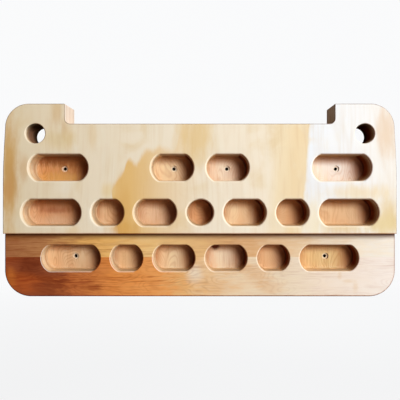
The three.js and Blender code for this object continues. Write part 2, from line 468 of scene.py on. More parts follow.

# %% [markdown]
# Light and shade are painted on too: walls that face down or left, away from the main lamp, get painted
# brown shade, the lit rims of the mouths a thin pale painted highlight, and the outer edges and the
# step a brown line of painted shade.
#
# The painted light and shade have to know where they go. Two masks tell the pockets and the tab holes
# from the rest of the board, the depth tells how far in a wall lies, and the direction that a face
# looks in tells a ceiling and a right wall, which get painted shade, from a lit wall.

# %% Where the marks lie
POCKETS_END = 279.0
POCKETS_LOW, POCKETS_HIGH = -118.0, 80.0
MASK_EDGE = 3.0
TAB_HOLE_CENTRE = ((half_width - TAB_HOLE_FROM_SIDE) / MM, 0.0, (top_edge - TAB_HOLE_FROM_TOP) / MM)
TAB_HOLE_REACH = (TAB_HOLE_DIAMETER / 2 + TAB_HOLE_ROUND) / MM
FACE_DEPTH, RECESS_DEPTH = -thickness / MM, -recess_level / MM


def mill_places(tree, point):
    """Two masks: the middle of the board, where all the pockets lie, and the two tab holes."""
    part = add(tree, SPLIT, _0=point)
    aside = add(tree, MATH, POSITIVE, _0=part.outputs["X"])
    near = add(tree, RANGE, Value=aside, From_Min=POCKETS_END + MASK_EDGE, From_Max=POCKETS_END)
    above = add(tree, RANGE, Value=part.outputs["Z"], From_Min=POCKETS_LOW - MASK_EDGE,
                From_Max=POCKETS_LOW)
    below = add(tree, RANGE, Value=part.outputs["Z"], From_Min=POCKETS_HIGH + MASK_EDGE,
                From_Max=POCKETS_HIGH)
    pockets = add(tree, MATH, TIMES, _0=near, _1=above)
    pockets = add(tree, MATH, TIMES, _0=pockets, _1=below)
    folded = add(tree, JOIN, X=aside, Z=part.outputs["Z"])
    gap = add(tree, VECTOR, DISTANCE, _0=folded, _1=TAB_HOLE_CENTRE)
    holes = add(tree, RANGE, Value=gap, From_Min=TAB_HOLE_REACH + 0.5, From_Max=TAB_HOLE_REACH)
    return pockets, holes


print("the tab holes lie", round(TAB_HOLE_CENTRE[0], 1), "mm from the middle and",
      round(TAB_HOLE_CENTRE[2], 1), "mm above it")

# %% [markdown]
# Walls that face left or down, away from the main lamp, get painted brown shade, a little at the mouth
# and fully further in. The tab holes get painted brown shade all round, and from half way in painted
# shade makes them nearly black.

# %% Painted shade on the walls and in the tab holes
# Painted shade: near black for the depth of the tab holes and the screw bores.
PAINTED_HOLE_SHADE = colour("#1E120B")
FULL_SHADE_BY, HOLE_BROWN_BY = FACE_DEPTH + 24, FACE_DEPTH + 20
BLACK_FROM, BLACK_BY = -30.0, -6.0


def shade_painted(tree, facing, depth, turned, away, pockets, holes, shade):
    """Painted shade: browns the walls that face left or down, and blackens the depth of the tab holes.
    """
    deeper = add(tree, RANGE, SOFT, Value=depth, From_Min=FACE_DEPTH, From_Max=FULL_SHADE_BY, To_Min=0.65)
    brown = add(tree, RANGE, SOFT, Value=turned, From_Min=-0.05, From_Max=0.62)
    brown = add(tree, MATH, TIMES, _0=brown, _1=deeper)
    milled = add(tree, MATH, HIGHER, _0=pockets, _1=holes)
    brown = add(tree, MATH, TIMES, _0=brown, _1=milled)
    wall = add(tree, RANGE, SOFT, Value=away, From_Min=0.7, From_Max=0.2)
    wall = add(tree, MATH, TIMES, _0=wall, _1=holes)
    browning = add(tree, RANGE, SOFT, Value=depth, From_Min=FACE_DEPTH, From_Max=HOLE_BROWN_BY,
                   To_Max=0.8)
    browning = add(tree, MATH, TIMES, _0=browning, _1=wall)
    brown = add(tree, MATH, HIGHER, _0=brown, _1=browning)
    shade = add(tree, MIX, STAIN, Factor=brown, A=shade, B=DARK_WOOD_AND_SHADE)
    # Painted shade: the depth of the tab holes and their ceilings go nearly black.
    hole_shade = add(tree, RANGE, SOFT, Value=depth, From_Min=BLACK_FROM, From_Max=BLACK_BY, To_Max=0.8)
    overhead = add(tree, RANGE, SOFT, Value=facing.outputs["Z"], From_Min=-0.2, From_Max=-1.0,
                   To_Max=0.8)
    hole_shade = add(tree, MATH, HIGHER, _0=hole_shade, _1=overhead)
    hole_shade = add(tree, MATH, TIMES, _0=hole_shade, _1=wall)
    return add(tree, MIX, STAIN, Factor=hole_shade, A=shade, B=PAINTED_HOLE_SHADE)


print("walls are fully scorched from", round(-FULL_SHADE_BY), "mm above the back inwards")

# %% [markdown]
# Light and shade are painted on the rims of the mouths. At the left and below, where the light falls
# on it, the outermost part of each round gets a thin pale painted highlight. On the other side the
# whole round gets painted brown shade. The rounds above the step end at another depth than those below
# it.

# %% The rims of the mouths
# Painted highlight, for the lit rims of the mouths and the screws' seats.
PAINTED_HIGHLIGHT = colour("#FFF3DE")
# Painted shade, for the rounds that face away from the light, the lower corners and the step's edge.
PAINTED_EDGE_SHADE = colour("#C08050")
STEP_EDGE = step_edge / MM
MOUTH_END = FACE_DEPTH + MOUTH_ROUND / MM + 0.2
LOWER_MOUTH_END = RECESS_DEPTH + LOWER_MOUTH_ROUND / MM + 0.1


def painted_mouth_rims(tree, height, depth, turned, bands, milled, shade):
    """Paints a pale highlight on the lit rims of the mouths, and brown shade on the rounds beyond."""
    rounded, rim = bands
    mouth = add(tree, RANGE, Value=height, From_Min=STEP_EDGE - 0.1, From_Max=STEP_EDGE + 0.1,
                To_Min=LOWER_MOUTH_END, To_Max=MOUTH_END)
    mouth = add(tree, MATH, BELOW, _0=depth, _1=mouth)
    mouth = add(tree, MATH, TIMES, _0=mouth, _1=milled)
    lit = add(tree, RANGE, SOFT, Value=turned, From_Min=0.0, From_Max=-0.2, To_Max=0.75)
    lit = add(tree, MATH, TIMES, _0=lit, _1=mouth)
    lit = add(tree, MATH, TIMES, _0=lit, _1=rim)
    shade = add(tree, MIX, TINT, Factor=lit, A=shade, B=PAINTED_HIGHLIGHT)
    shaded = add(tree, RANGE, SOFT, Value=turned, From_Min=0.05, From_Max=0.4, To_Max=0.7)
    shaded = add(tree, MATH, TIMES, _0=shaded, _1=mouth)
    shaded = add(tree, MATH, TIMES, _0=shaded, _1=rounded)
    return add(tree, MIX, STAIN, Factor=shaded, A=shade, B=PAINTED_EDGE_SHADE)


print("the mouths end", round(-MOUTH_END, 1), "and", round(-LOWER_MOUTH_END, 1), "mm above the back")

# %% [markdown]
# Outside, painted shade draws a brown line along the edge of the step, round the lower corners and
# along all the outer edges. The sawn walls between front and back are a little greyer than the milled
# ones.

# %% The outer edges
# Painted shade along the rounded outer edges.
PAINTED_OUTLINE_SHADE = colour("#6E4426")
OUTER_WALL = colour("#E0D8D6")
CORNER_REACH = BOTTOM_CORNER_RADIUS / MM
CORNER_CENTRE = (half_width / MM - CORNER_REACH, 0.0, -bottom_edge / MM - CORNER_REACH)
STEP_LEVEL = RECESS_DEPTH - 0.2
RIM_FADE_FROM, RIM_FADE_TO = 240.0, 290.0


def outer_edges(tree, point, facing, away, rounded, milled, shade):
    """Paints shade as brown lines along the outer edges and the step, and tones the sawn outer walls.
    """
    part = add(tree, SPLIT, _0=point)
    aside = add(tree, MATH, POSITIVE, _0=part.outputs["X"])
    lower = add(tree, MATH, TIMES, _0=part.outputs["Z"], _1=-1.0)
    folded = add(tree, JOIN, X=aside, Z=lower)
    past = add(tree, VECTOR, MINUS, _0=folded, _1=CORNER_CENTRE)
    past = add(tree, VECTOR, HIGHER, _0=past, _1=(0.0, 0.0, 0.0))
    past = add(tree, VECTOR, LENGTH, _0=past)
    # Painted shade: a brown line along the rounded edges below the step and round the lower corners.
    rim = add(tree, RANGE, SOFT, Value=past, From_Min=CORNER_REACH - 2.2, From_Max=CORNER_REACH - 1.2)
    rightward = add(tree, RANGE, SOFT, Value=part.outputs["X"], From_Min=RIM_FADE_FROM,
                    From_Max=RIM_FADE_TO, To_Min=0.9, To_Max=0.5)
    rim = add(tree, MATH, TIMES, _0=rim, _1=rightward)
    below_step = add(tree, MATH, BELOW, _0=part.outputs["Z"], _1=STEP_EDGE)
    rim = add(tree, MATH, TIMES, _0=rim, _1=below_step)
    front = add(tree, RANGE, Value=away, From_Min=0.2, From_Max=0.5)
    rim = add(tree, MATH, TIMES, _0=rim, _1=front)
    shade = add(tree, MIX, STAIN, Factor=rim, A=shade, B=PAINTED_EDGE_SHADE)
    # Painted shade along the face's lower edge at the step.
    eased = add(tree, RANGE, SOFT, Value=part.outputs["Z"], From_Min=STEP_EDGE + 1.8,
                From_Max=STEP_EDGE + 0.2, To_Max=0.85)
    raised = add(tree, MATH, BELOW, _0=part.outputs["Y"], _1=STEP_LEVEL)
    eased = add(tree, MATH, TIMES, _0=eased, _1=raised)
    shade = add(tree, MIX, STAIN, Factor=eased, A=shade, B=PAINTED_EDGE_SHADE)
    outside = add(tree, MATH, MINUS, _0=1.0, _1=milled)
    # Painted shade on the outer rounds, strongest where they face left or down.
    downward = add(tree, MATH, PLUS, _0=facing.outputs["X"], _1=facing.outputs["Z"])
    line = add(tree, RANGE, SOFT, Value=downward, From_Min=0.1, From_Max=-0.4, To_Min=0.6, To_Max=1.0)
    line = add(tree, MATH, TIMES, _0=line, _1=rounded)
    line = add(tree, MATH, TIMES, _0=line, _1=outside)
    shade = add(tree, MIX, STAIN, Factor=line, A=shade, B=PAINTED_OUTLINE_SHADE)
    flat = add(tree, RANGE, SOFT, Value=away, From_Min=0.3, From_Max=0.1, To_Max=0.5)
    flat = add(tree, MATH, TIMES, _0=flat, _1=outside)
    return add(tree, MIX, TINT, Factor=flat, A=shade, B=OUTER_WALL)


print("the step's edge is", round(-STEP_EDGE, 1), "mm below the middle")

# %% [markdown]
# The flat that a screw's head sits on gets a painted highlight, and the bore below it painted shade.
# The last function puts all the marks and the painted light and shade on, one after the other.

# %% The screw seats, and all the marks together
SEAT_DEPTH = -(POCKET_LEVEL - SCREW_HEAD_DEPTH) / MM
BROWN_LEFT, BROWN_DOWN = 0.85, 0.36


def screw_places(tree, depth, away, pockets, shade):
    """Paints light on the flat that a screw's head sits on, and shade that blackens the bore below."""
    head = add(tree, RANGE, Value=depth, From_Min=SEAT_DEPTH - 1.4, From_Max=SEAT_DEPTH - 1, To_Max=0.5)
    level = add(tree, RANGE, Value=away, From_Min=0.8, From_Max=0.9)
    head = add(tree, MATH, TIMES, _0=head, _1=level)
    above_back = add(tree, RANGE, Value=depth, From_Min=-0.3, From_Max=-0.6)
    within = add(tree, MATH, TIMES, _0=above_back, _1=pockets)
    head = add(tree, MATH, TIMES, _0=head, _1=within)
    shade = add(tree, MIX, TINT, Factor=head, A=shade, B=PAINTED_HIGHLIGHT)
    bore = add(tree, RANGE, Value=depth, From_Min=SEAT_DEPTH, From_Max=SEAT_DEPTH + 0.4, To_Max=0.97)
    bore = add(tree, MATH, TIMES, _0=bore, _1=within)
    return add(tree, MIX, STAIN, Factor=bore, A=shade, B=PAINTED_HOLE_SHADE)


def marks_and_painted_light(tree, point, facing, away, shade):
    """All the marks of the mill, and the painted light and shade, one after the other."""
    part = add(tree, SPLIT, _0=point)
    height, depth = part.outputs["Z"], part.outputs["Y"]
    leftward = add(tree, MATH, TIMES, _0=facing.outputs["X"], _1=-BROWN_LEFT)
    turned = add(tree, MATH, TIMES_PLUS, _0=facing.outputs["Z"], _1=-BROWN_DOWN, _2=leftward)
    rounded = add(tree, RANGE, SOFT, Value=away, From_Min=0.995, From_Max=0.93)
    not_wall = add(tree, RANGE, SOFT, Value=away, From_Min=0.02, From_Max=0.2)
    rounded = add(tree, MATH, TIMES, _0=rounded, _1=not_wall)
    outermost = add(tree, RANGE, SOFT, Value=away, From_Min=0.68, From_Max=0.86)
    rim = add(tree, MATH, TIMES, _0=rounded, _1=outermost)
    pockets, holes = mill_places(tree, point)
    milled = add(tree, MATH, HIGHER, _0=pockets, _1=holes)
    shade = shade_painted(tree, facing, depth, turned, away, pockets, holes, shade)
    shade = painted_mouth_rims(tree, height, depth, turned, (rounded, rim), milled, shade)
    shade = outer_edges(tree, point, facing, away, rounded, milled, shade)
    return screw_places(tree, depth, away, pockets, shade)


print("the screws' heads sit", -SEAT_DEPTH, "mm above the back")

# %% [markdown]
# ## A wood
#
# One function makes every wood of the board from these parts. Colours, directions and sizes tell
# the woods apart. Light oil gives the sanded flats a faint sheen, a little smoother along the pale
# fibres than in the dark ones, while the milled walls stay matt. Each fibre stands up by a hair.

# %% The wood function
WOOD_IOR = 1.5
HAIR = 0.3 * MM


def wood(name, fibre, shades, streaks, rings, seed, spots=(), shadows=(), base=None, knots=(),
         wander=14.0, quiet=(100.0, 100.1, 1.0), roughness=(0.50, 0.70)):
    """A wood. shades are the pale and the warm colour, the stain of streaks and rings, and the
    colours of the long-grain and the end-grain edge. shadows are spots with a soft, even edge.
    quiet is where, from left to right, the figure fades, and what is left of it."""
    pale, warm, line, long_edge, end_edge = (colour(shade) for shade in shades)
    material = bpy.data.materials.new(name)
    tree = empty_tree(material)
    given = add(tree, "ShaderNodeTexCoord")
    facing = add(tree, SPLIT, _0=given.outputs["Normal"])
    point = add(tree, VECTOR, SCALED, _0=given.outputs["Object"], Scale=1 / MM)
    grain = grain_of(tree, point, fibre, wander, seed)
    rough = fibre_noise(tree, grain, (streaks[0] / 2, streaks[1] * 3, 6.0), 4.0, seed + 11)
    broad = fibre_noise(tree, grain, (260.0, 42.0, 20.0), 2.0, seed + 3)
    broad = add(tree, RANGE, SOFT, Value=broad, From_Min=0.38, From_Max=0.66)
    mixed = add(tree, MIX, TINT, Factor=broad, A=pale, B=warm)
    shade = base(tree, point, rough, mixed) if base else mixed
    for centre, reach, spot_shade, amount in spots:
        shade = spot(tree, point, rough, shade, centre, reach, spot_shade, amount)
    part = add(tree, SPLIT, _0=point)
    strength = add(tree, RANGE, SOFT, Value=part, From_Min=quiet[0], From_Max=quiet[1],
                   To_Min=1.0, To_Max=quiet[2])
    shade, fine = figure(tree, grain, shade, line, streaks, rings, strength, seed)
    # Painted shadows go on here, over the figure.
    for centre, reach, spot_shade, amount in shadows:
        shade = spot(tree, point, 0.5, shade, centre, reach, spot_shade, amount)

    edge = edge_of(tree, grain, facing, fibre, (long_edge, end_edge, line), seed)
    away = add(tree, MATH, POSITIVE, _0=facing.outputs["Y"])
    on_edge = add(tree, RANGE, SOFT, Value=away, From_Min=0.8, From_Max=0.3)
    shade = add(tree, MIX, TINT, Factor=on_edge, A=shade, B=edge)
    for centre, radius in knots:
        shade = knot(tree, point, rough, shade, centre, radius)
    shade = marks_and_painted_light(tree, point, facing, away, shade)

    shine = add(tree, RANGE, Value=fine, From_Min=0.3, From_Max=0.7,
                To_Min=roughness[0], To_Max=roughness[1])
    relief = add(tree, "ShaderNodeBump", Strength=0.25, Distance=HAIR, Height=fine)
    sheen = add(tree, RANGE, SOFT, Value=away, From_Min=0.3, From_Max=0.95, To_Max=0.12)
    surface = add(tree, "ShaderNodeBsdfPrincipled", Base_Color=shade, Roughness=shine, Normal=relief,
                  IOR=WOOD_IOR, Specular_IOR_Level=sheen)
    add(tree, "ShaderNodeOutputMaterial", Surface=surface)
    return material


print("fibres stand up by", HAIR / MM, "mm")

# %% [markdown]
# ## The face
#
# The face is a sheet of sanded birch with the fibre upright. Cream sapwood covers most of it. Left
# of the middle stands the yellow heartwood of a flame with jagged tips. On the right a slanted band
# ends at a sharp edge, where two sheets of veneer meet, and right of it the wood is nearly white.

# %% Colours and heights along a distance
def colours_along(tree, distance, stops):
    """Colours that change along a distance, from stops of millimetres and colour."""
    first, last = stops[0][0], stops[-1][0]
    share = add(tree, RANGE, Value=distance, From_Min=first, From_Max=last)
    ramp = add(tree, "ShaderNodeValToRGB", _0=share)
    elements = ramp.color_ramp.elements
    elements.remove(elements[0])
    elements[0].position = 0.0
    elements[0].color = colour(stops[0][1])
    for place, shade in stops[1:]:
        elements.new((place - first) / (last - first)).color = colour(shade)
    return ramp


def heights_along(tree, distance, points):
    """A height that changes along a distance, from points of distance and height."""
    first, last = points[0][0], points[-1][0]
    lowest = min(height for _, height in points)
    highest = max(height for _, height in points)
    share = add(tree, RANGE, Value=distance, From_Min=first, From_Max=last)
    tips = add(tree, "ShaderNodeFloatCurve", Value=share)
    curve = tips.mapping.curves[0]
    shares = [((place - first) / (last - first), (height - lowest) / (highest - lowest))
              for place, height in points]
    for inner in shares[1:-1]:
        curve.points.new(*inner)
    curve.points[0].location = shares[0]
    curve.points[-1].location = shares[-1]
    tips.mapping.update()
    return add(tree, RANGE, Value=tips, To_Min=lowest, To_Max=highest)


print("colours and heights are set at distances in mm from the middle of the board")

# %% [markdown]
# The sheets of veneer follow one another from left to right, with boundaries that lean a little. The
# flame's tips are a line of heights, and the fibre makes its edge uneven. Then come the spots, each
# with its place and reach in millimetres.

# %% The sheets of the face and the flame
FLAME_TIPS = [(-139, -130), (-134, -50), (-131, 14), (-123, 30), (-112, 45), (-106, 61), (-99, 57),
              (-93, 53), (-88, 62), (-79, 72), (-65, 75), (-58, 79), (-33, 80), (-29, 95), (-19, 125)]
FLAME_YELLOW = colour("#EBC27E")
FLAME_LEAN, FLAME_LEANS_BELOW = 0.2, 16.0
FLAME_FADES_FROM, FLAME_FULL_FROM = 5.0, -105.0
SHEET_LEAN = -0.083
WHITE_SHEET = 163.0


def face_sheets(tree, point, rough, mixed):
    """Cream sheet, slanted yellow band, white sheet, and the flame of heartwood."""
    part = add(tree, SPLIT, _0=point)
    lean = add(tree, MATH, TIMES_PLUS, _0=part.outputs["Z"], _1=SHEET_LEAN, _2=part.outputs["X"])
    uneven = add(tree, MATH, TIMES_PLUS, _0=rough, _1=9.0, _2=lean)
    sheet = colours_along(tree, uneven, [
        (-300.0, "#EFDFBE"), (-230.0, "#F2E3C6"), (-60.0, "#F5E9D2"), (105.0, "#F6EAD4"),
        (122.0, "#F4E2BE"), (145.0, "#F1DAB0"), (162.5, "#F2DDB6"), (164.5, "#F2F6FA"),
        (300.0, "#F3F0EA")])
    cloud = add(tree, NOISE, SEEDED, Vector=point, W=7.0, Scale=1 / 42, Detail=5.0, Distortion=0.8)
    cloud = add(tree, RANGE, SOFT, Value=cloud, From_Min=0.42, From_Max=0.72, To_Max=0.75)
    sapwood = add(tree, RANGE, Value=lean, From_Min=WHITE_SHEET - 5, From_Max=WHITE_SHEET + 5,
                  To_Min=1.0, To_Max=0.25)
    cloud = add(tree, MATH, TIMES, _0=cloud, _1=sapwood)
    sheet = add(tree, MIX, TINT, Factor=cloud, A=sheet, B=mixed)
    under = add(tree, MATH, LOWER, _0=part.outputs["Z"], _1=FLAME_LEANS_BELOW)
    shifted = add(tree, MATH, TIMES_PLUS, _0=under, _1=FLAME_LEAN, _2=part.outputs["X"])
    tips = heights_along(tree, shifted, FLAME_TIPS)
    below = add(tree, MATH, MINUS, _0=tips, _1=part.outputs["Z"])
    below = add(tree, MATH, TIMES_PLUS, _0=rough, _1=22.0, _2=below)
    inside = add(tree, RANGE, SOFT, Value=below, From_Min=3.0, From_Max=16.0)
    fade = add(tree, RANGE, Value=part.outputs["X"], From_Min=FLAME_FADES_FROM,
               From_Max=FLAME_FULL_FROM)
    amount = add(tree, MATH, TIMES, _0=inside, _1=fade)
    return add(tree, MIX, TINT, Factor=amount, A=sheet, B=FLAME_YELLOW)


birch_face = wood(
    "sanded_birch", UPRIGHT, ("#F6EEDA", "#E9D2A6", "#DDBF90", "#F8EAD0", "#ECD6B0"),
    streaks=(90.0, 4.0, 0.16), rings=(180.0, 30.0, 5.0, 0.10), seed=3.0, base=face_sheets,
    spots=[
        ((-290, 42), (13, 90), "#D8AA60", 0.9), ((-288, 28), (9, 36), "#CF9E62", 0.5),
        ((-268, 50), (9, 20), "#DDB684", 0.6), ((-292, 16), (6, 18), "#D6A468", 0.8),
        ((-217, 135), (9, 26), "#E2C290", 0.7), ((-206, 110), (5, 16), "#DDBA86", 0.6),
        ((-199, 96), (6, 24), "#E6C998", 0.6), ((-163, 97), (8, 22), "#EAD0A2", 0.5),
        ((-7, 95), (26, 40), "#E9CB92", 0.85), ((284, 105), (14, 44), "#E6CDB0", 0.8),
        ((-213, 93), (24, 15), "#E4CB94", 0.6),
        ((215, -38), (34, 18), "#E4C68E", 0.8), ((284, -27), (20, 32), "#E4CC98", 0.8),
        ((276, -36), (34, 16), "#E4D09C", 0.8), ((172, -38), (18, 42), "#F4E8CA", 0.9),
        ((245, 12), (46, 12), "#EFDCB4", 0.7), ((-118, -42), (22, 12), "#E0AC5C", 0.8),
        ((-116, -10), (10, 40), "#E2B062", 0.5),
        ((-140, 16), (10, 12), "#EFD6A2", 0.7), ((-193, -46), (10, 8), "#EBD0A0", 0.6),
    ])
print(birch_face.name, "has", len(birch_face.node_tree.nodes), "nodes")

# %% [markdown]
# ## The two strips of the core
#
# Below the step the mill has cut into the core, whose fibre lies level. It is made of two strips,
# edge to edge. Both come from the boundary of heartwood and sapwood: dark on the left and pale on
# the right, the lower strip from fox red to cream. Tongues of dark wood run along the fibre, and
# flames and streaks are strong in the heartwood and faint in the sapwood. Right under the step a
# painted shadow makes the upper strip dark brown, where the step keeps the light off.

# %% The strips of the core
def strip_base(stops, jag):
    """Heartwood on the left that passes into sapwood on the right, in tongues along the fibre."""
    def base(tree, point, rough, mixed):
        part = add(tree, SPLIT, _0=point)
        uneven = add(tree, MATH, MINUS, _0=rough, _1=0.5)
        uneven = add(tree, MATH, TIMES_PLUS, _0=uneven, _1=jag, _2=part)
        shade = colours_along(tree, uneven, stops)
        return add(tree, MIX, TINT, Factor=0.06, A=shade, B=mixed)
    return base


# A painted shadow under the step.
STEP_SHADOW = ((0, -50), (4000, 7), "#562A10", 0.95)
upper_strip_wood = wood(
    "heartwood_strip", LEVEL, ("#F3E2C6", "#E5AC64", "#C08A58", "#F3DAB4", "#EBCCA2"),
    streaks=(40.0, 1.8, 0.6), rings=(160.0, 16.0, 8.0, 0.2), seed=17.0, shadows=[STEP_SHADOW],
    quiet=(-40.0, 140.0, 0.3),
    base=strip_base([(-300.0, "#A8622E"), (-235.0, "#BE8048"), (-150.0, "#F2BC6A"),
                     (-70.0, "#F5CC8A"), (60.0, "#DFAF7C"), (150.0, "#E8CAA4"), (240.0, "#F2E6D2"),
                     (300.0, "#F0E9DE")], 150.0))
lower_strip_wood = wood(
    "dark_heartwood_strip", LEVEL, ("#F0D3A8", "#D98B4C", "#B06A3C", "#F1D6B0", "#E6C096"),
    streaks=(34.0, 1.8, 0.7), rings=(70.0, 20.0, 16.0, 0.26), seed=23.0, quiet=(-60.0, 90.0, 0.4),
    spots=[((-262, -100), (24, 16), "#6E2A0C", 0.7), ((-272, -126), (22, 12), "#C0602A", 0.8),
           ((-291, -120), (9, 16), "#C8702E", 0.8),
           ((-165, -134), (16, 5), "#A04E22", 0.7), ((-8, -112), (12, 14), "#F3E4CC", 0.8),
           ((58, -104), (30, 9), "#E3AE70", 0.5), ((92, -114), (18, 14), "#E0AA70", 0.45),
           ((108, -132), (20, 12), "#DDA870", 0.4), ((30, -132), (34, 9), "#E6B47C", 0.5),
           ((215, -114), (3, 8), "#E0BF92", 0.35), ((227, -124), (9, 3), "#E0BF92", 0.35),
           ((239, -134), (4, 8), "#E0BF92", 0.35)],
    base=strip_base([(-300.0, "#9C3E0A"), (-222.0, "#8C3808"), (-196.0, "#C0662A"), (-130.0, "#E89040"),
                     (-60.0, "#F2A65C"), (-20.0, "#F0BE7E"), (45.0, "#F1D8B4"), (125.0, "#EEDEC2"),
                     (190.0, "#F2E3D0"), (300.0, "#F4ECE4")], 90.0))
print(upper_strip_wood.name, lower_strip_wood.name)

# %% [markdown]
# ## The hidden layers and the floors of the pockets
#
# The layers further back show at the edges and in the walls of the pockets. The floor of every
# pocket is one more sheet of veneer, which the mill laid open, with wandering year rings in it.
# Along the right end and under the ceiling of each pocket a painted shadow makes the floor brown. The
# back, which nobody sees, is raw birch without oil, a little rougher and with stronger rings.

# %% The inner layers
# Painted shadows on the pocket floors: dark along each right end, softer round it and under the
# ceiling.
POCKET_SHADOW, POCKET_HALF_SHADOW = "#84401C", "#C67E48"
painted_pocket_shadows = []
for row, (*_, places) in rows.items():
    ceiling = (bottom_edge + ROW_HEIGHTS[row] + POCKET_HEIGHT / 2) / MM
    for reach, width in places + [(0.0, POCKET_HEIGHT)] * (row == "middle"):
        for centre in sorted({-reach, reach}):
            right_end = (centre + width / 2) / MM
            painted_pocket_shadows.append(((right_end - 2, ceiling - 14), (26, 38), POCKET_HALF_SHADOW, 0.6))
            painted_pocket_shadows.append(((right_end, ceiling - 14), (19, 34), POCKET_SHADOW, 0.85))
            painted_pocket_shadows.append(((centre / MM, ceiling), (0.7 * width / MM, 11), POCKET_HALF_SHADOW, 0.7))
KNOTS = [((24, -21, -71), 6.5), ((-73, -34, 52.5), 1.2)]
birch_crossband = wood(
    "birch_crossband", UPRIGHT, ("#EED9B6", "#DDB98A", "#D2A878", "#F4DCB8", "#EBCB9E"),
    streaks=(70.0, 2.4, 0.35), rings=(160.0, 24.0, 6.0, 0.15), seed=31.0, knots=KNOTS)
birch_floor = wood(
    "routed_birch", UPRIGHT, ("#FBE4BC", "#F0C08E", "#C99A6A", "#F6DCB4", "#E6BE8C"),
    streaks=(40.0, 1.8, 0.45), rings=(90.0, 40.0, 34.0, 0.3), seed=41.0, knots=KNOTS,
    shadows=painted_pocket_shadows,
    spots=[
        # Painted shade: the dark spots at (-214, 67) and (-224, -4) under the ceilings and at (-186,
        # 52) at the right end of the two left four-finger pockets. The pale spots at (-228, 36) and
        # (-228, -34), near the bottoms of the same pockets, are painted light.
        ((-216, 50), (60, 30), "#DC8E46", 0.8), ((-214, 67), (56, 13), "#7E3E12", 0.85),
        ((-186, 52), (22, 34), "#944E1E", 0.7), ((-228, 36), (40, 9), "#EAB668", 0.7),
        ((-227, -18), (62, 28), "#E0A274", 0.8), ((-224, -4), (60, 12), "#B46C46", 0.6),
        ((-228, -34), (46, 9), "#F2CCA6", 0.6),
        ((216, 52), (60, 32), "#FFF8F0", 0.95), ((42, 46), (40, 24), "#FFF0DC", 0.85),
        ((-42, 50), (36, 26), "#FFE8C0", 0.85), ((-70, -18), (34, 26), "#F4D4B4", 0.7),
        ((-113, -88), (26, 26), "#FDE0AE", 0.6), ((40, -88), (38, 26), "#F9E9CE", 0.85),
        ((199, -88), (52, 28), "#EFCF90", 0.8),
        ((141, -18), (30, 26), "#DCAE80", 0.7), ((227, -18), (62, 28), "#E8C69C", 0.7),
        ((0, -18), (26, 26), "#EEB684", 0.8),
        ((-230, -16), (24, 4.5), "#A85C38", 0.6),
    ])
birch_back = wood(
    "raw_birch_back", UPRIGHT, ("#EBD9BC", "#DCC096", "#CDAA7C", "#E6CBA2", "#C99E6C"),
    streaks=(90.0, 2.4, 0.40), rings=(260.0, 34.0, 9.0, 0.45), seed=53.0, roughness=(0.55, 0.72))
woods = {
    "front_panel_face_layer": birch_face, "back_panel_face_layer": birch_floor,
    "back_panel_back_layer": birch_back, "middle_panel_back_layer": birch_floor,
}
for panel in ("front_panel", "middle_panel", "back_panel"):
    woods[panel + "_core_upper_strip"] = upper_strip_wood
    woods[panel + "_core_lower_strip"] = lower_strip_wood
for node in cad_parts:
    woods.setdefault(node, birch_crossband)
print(len({made.name for made in woods.values()}), "woods for", len(woods), "layers")


# %% [markdown]
# ## One rule for every milled form
#
# The blank, the pockets, the tab holes and the screw holes all follow one rule: a side profile
# runs round an outline. At the back end the profile has a quarter round or a cove, then comes the
# straight wall, and at the front end another quarter round. Only the sizes differ, and most forms
# come twice, left and right of the middle. That is work for Geometry Nodes: the profile is swept
# round the outline with Curve to Mesh, the two open ends are filled, and the result is instanced
# at its places. A positive round flares outwards, as a bit does that rounds over a pocket's mouth,
# and a negative one draws inwards, as along the edge of the board.

# %% A tree with named inputs
def shape_tree(name, inputs):
    """A new Geometry Nodes tree with the named inputs, what it is given, and where its form goes."""
    tree = bpy.data.node_groups.new(name, "GeometryNodeTree")
    for socket, kind in inputs.items():
        tree.interface.new_socket(socket, in_out="INPUT", socket_type="NodeSocket" + kind)
    tree.interface.new_socket("Form", in_out="OUTPUT", socket_type="NodeSocketGeometry")
    given = tree.nodes.new("NodeGroupInput").outputs
    return tree, given, tree.nodes.new("NodeGroupOutput").inputs[0]


FORM_SIZES = ("Depth", "Back Round", "Front Round", "Back Overrun", "Front Overrun", "Level",
              "Reach", "Height")
print("a milled form has", len(FORM_SIZES), "sizes:", ", ".join(FORM_SIZES))

# %% [markdown]
# The profile is drawn from its straight stretches and its two quarter rounds, and swept. The end
# faces are the outline itself, grown or shrunk by the round that they close.

